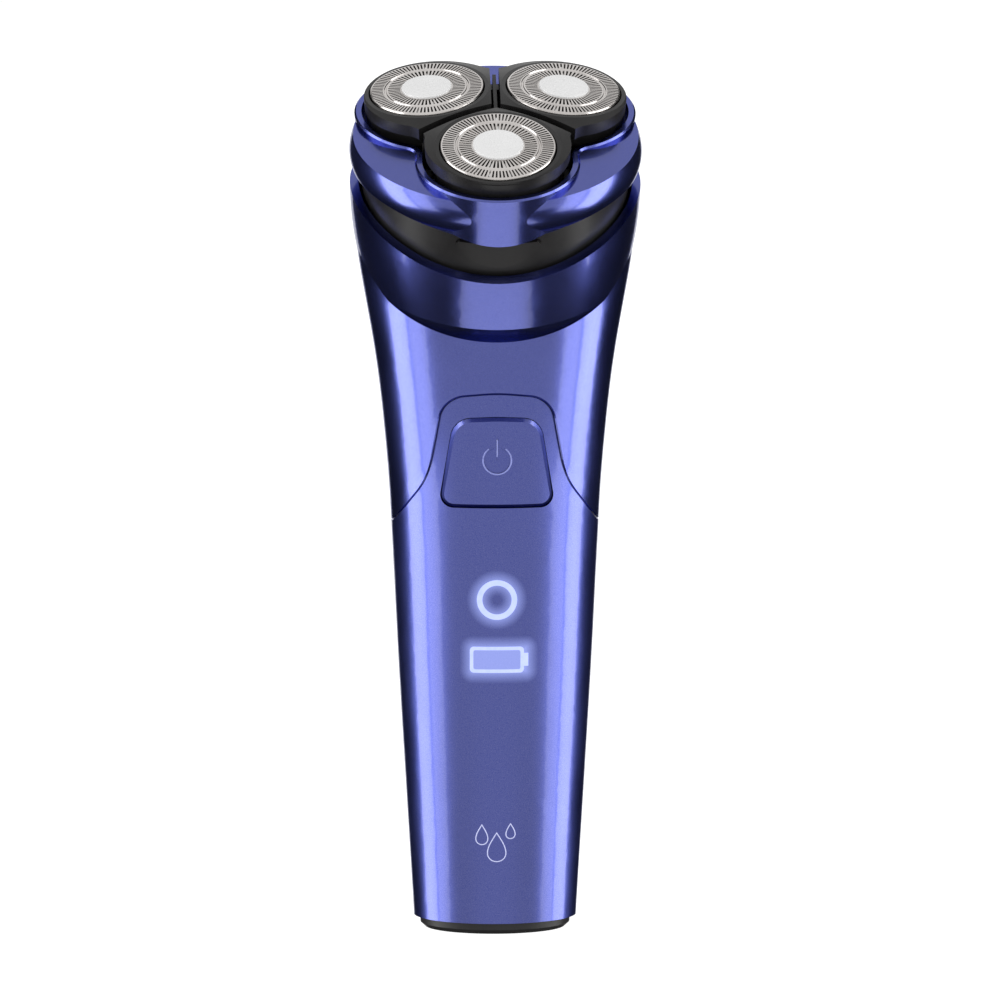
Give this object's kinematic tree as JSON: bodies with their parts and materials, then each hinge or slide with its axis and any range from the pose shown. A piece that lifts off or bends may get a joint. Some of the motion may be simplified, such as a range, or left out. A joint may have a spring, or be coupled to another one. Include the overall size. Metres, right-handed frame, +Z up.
{
  "type": "electric shaver",
  "caption": "Three-headed rotary electric shaver with a canted hinged head, arched front panel and power key, standing on its base.",
  "frame": {"origin": "centre of the flat face of the base that the shaver stands on", "axes": "+Z up along the handle, -Y toward the front with the power key, +X to the right seen from the front"},
  "size_m": [0.057, 0.059, 0.1708],
  "materials": {
    "blue_lacquer": "metallic blue lacquer, glossy",
    "blue_lacquer_panel": "metallic blue lacquer, satin",
    "black_grip": "soft-touch, fine texture",
    "black_plastic": "satin",
    "neck_black": "satin",
    "chamber_black": "satin",
    "button_black": "satin",
    "segment_black": "satin",
    "seal_rubber": "matte",
    "contact_brass": "polished",
    "screw_steel": "satin",
    "white_plastic": "matte",
    "board_green": "satin",
    "light_lens": "clear",
    "light_guide": "frosted, lit from behind",
    "cell_wrap": "printed film, plain",
    "nickel_strip": "satin",
    "motor_steel": "zinc plated",
    "rotor_iron": "varnished windings",
    "gear_plastic": "acetal, satin",
    "guard_steel": "polished, slotted",
    "cap_white": "satin white",
    "blade_steel": "ground",
    "carrier_plastic": "satin"
  },
  "bodies": {
    "handle": {"front_shell": "blue_lacquer", "front_panel": "blue_lacquer_panel", "rear_cover": "black_grip", "ring_light_guide": "light_guide", "battery_light_guide": "light_guide", "base_cap": "black_plastic", "base_seal": "seal_rubber", "charging_socket": "black_plastic", "charging_pins": "contact_brass", "base_screws": "screw_steel", "chassis": "white_plastic", "circuit_board": "board_green", "board_screws": "screw_steel", "tact_switch": "black_plastic", "status_leds": "light_lens", "battery_cell": "cell_wrap", "battery_tabs": "nickel_strip", "neck_ring": "neck_black", "head_hinge_pin": "screw_steel", "spindle_deck": "neck_black", "spindle_seals": "seal_rubber", "gear_plate": "white_plastic", "motor_can": "motor_steel", "motor_end_cap": "black_plastic"},
    "rotor": {"motor_rotor": "rotor_iron", "motor_shaft": "screw_steel", "sun_pinion": "gear_plastic"},
    "drive_front": {"drive_gear_front": "gear_plastic", "spindle_front": "gear_plastic"},
    "drive_right": {"drive_gear_right": "gear_plastic", "spindle_right": "gear_plastic"},
    "drive_left": {"drive_gear_left": "gear_plastic", "spindle_left": "gear_plastic"},
    "head": {"head_shell": "blue_lacquer", "cutter_frame": "chamber_black", "centre_bridge": "chamber_black"},
    "flex_front": {"segment_front": "segment_black"},
    "float_front": {"guard_front": "guard_steel", "guard_cap_front": "cap_white"},
    "cutter_front": {"cutter_blades_front": "blade_steel", "cutter_carrier_front": "carrier_plastic"},
    "flex_right": {"segment_right": "segment_black"},
    "float_right": {"guard_right": "guard_steel", "guard_cap_right": "cap_white"},
    "cutter_right": {"cutter_blades_right": "blade_steel", "cutter_carrier_right": "carrier_plastic"},
    "flex_left": {"segment_left": "segment_black"},
    "float_left": {"guard_left": "guard_steel", "guard_cap_left": "cap_white"},
    "cutter_left": {"cutter_blades_left": "blade_steel", "cutter_carrier_left": "carrier_plastic"},
    "release_button": {"release_button": "button_black"},
    "power_key": {"power_key": "blue_lacquer_panel"}
  },
  "joints": [
    {"name": "rotor_spin", "type": "hinge", "parent": "handle", "child": "rotor", "pos_m": [0, 0.00344, 0.1359], "axis": [0, -0.4147, 0.91], "continuous": true},
    {"name": "drive_front_spin", "type": "hinge", "parent": "handle", "child": "drive_front", "pos_m": [0, -0.01515, 0.14172], "axis": [0, -0.4147, 0.91], "continuous": true},
    {"name": "drive_right_spin", "type": "hinge", "parent": "handle", "child": "drive_right", "pos_m": [0.01256, 0.00465, 0.15074], "axis": [0, -0.4147, 0.91], "continuous": true},
    {"name": "drive_left_spin", "type": "hinge", "parent": "handle", "child": "drive_left", "pos_m": [-0.01256, 0.00465, 0.15074], "axis": [0, -0.4147, 0.91], "continuous": true},
    {"name": "head_open", "type": "hinge", "parent": "handle", "child": "head", "pos_m": [0, 0.02087, 0.16253], "axis": [-1, 0, 0], "range_deg": [0, 100]},
    {"name": "segment_front_tilt", "type": "hinge", "parent": "head", "child": "flex_front", "pos_m": [0, -0.01876, 0.14935], "axis": [1, 0, 0], "range_deg": [-3, 3], "stiffness_Nm_per_rad": 0.15},
    {"name": "guard_front_float", "type": "slide", "parent": "flex_front", "child": "float_front", "axis": [0, 0.5, -0.866], "range_m": [0, 0.001], "stiffness_N_per_m": 400, "springref_m": -0.001},
    {"name": "cutter_front_spin", "type": "hinge", "parent": "float_front", "child": "cutter_front", "pos_m": [0, -0.02306, 0.15679], "axis": [0, -0.5, 0.866], "continuous": true},
    {"name": "segment_right_tilt", "type": "hinge", "parent": "head", "child": "flex_right", "pos_m": [0.01267, 0.0012, 0.15844], "axis": [-0.5, 0.788, 0.3591], "range_deg": [-3, 3], "stiffness_Nm_per_rad": 0.15},
    {"name": "guard_right_float", "type": "slide", "parent": "flex_right", "child": "float_right", "axis": [-0.083, 0.3692, -0.9256], "range_m": [0, 0.001], "stiffness_N_per_m": 400, "springref_m": -0.001},
    {"name": "cutter_right_spin", "type": "hinge", "parent": "float_right", "child": "cutter_right", "pos_m": [0.01338, -0.00197, 0.1664], "axis": [0.083, -0.3692, 0.9256], "continuous": true},
    {"name": "segment_left_tilt", "type": "hinge", "parent": "head", "child": "flex_left", "pos_m": [-0.01267, 0.0012, 0.15844], "axis": [-0.5, -0.788, -0.3591], "range_deg": [-3, 3], "stiffness_Nm_per_rad": 0.15},
    {"name": "guard_left_float", "type": "slide", "parent": "flex_left", "child": "float_left", "axis": [0.083, 0.3692, -0.9256], "range_m": [0, 0.001], "stiffness_N_per_m": 400, "springref_m": -0.001},
    {"name": "cutter_left_spin", "type": "hinge", "parent": "float_left", "child": "cutter_left", "pos_m": [-0.01338, -0.00197, 0.1664], "axis": [-0.083, -0.3692, 0.9256], "continuous": true},
    {"name": "release_press", "type": "slide", "parent": "handle", "child": "release_button", "axis": [0, 0.91, 0.4147], "range_m": [0, 0.001], "stiffness_N_per_m": 800, "springref_m": -0.001},
    {"name": "power_press", "type": "slide", "parent": "handle", "child": "power_key", "axis": [0, 1, 0], "range_m": [0, 0.0004], "stiffness_N_per_m": 2000, "springref_m": -0.0005}
  ],
  "couplings": [
    {"joint": "drive_front_spin", "follows": "rotor_spin", "ratio": -0.56757},
    {"joint": "drive_right_spin", "follows": "rotor_spin", "ratio": -0.56757},
    {"joint": "drive_left_spin", "follows": "rotor_spin", "ratio": -0.56757},
    {"joint": "cutter_front_spin", "follows": "rotor_spin", "ratio": -0.56757},
    {"joint": "cutter_right_spin", "follows": "rotor_spin", "ratio": -0.56757},
    {"joint": "cutter_left_spin", "follows": "rotor_spin", "ratio": -0.56757}
  ]
}
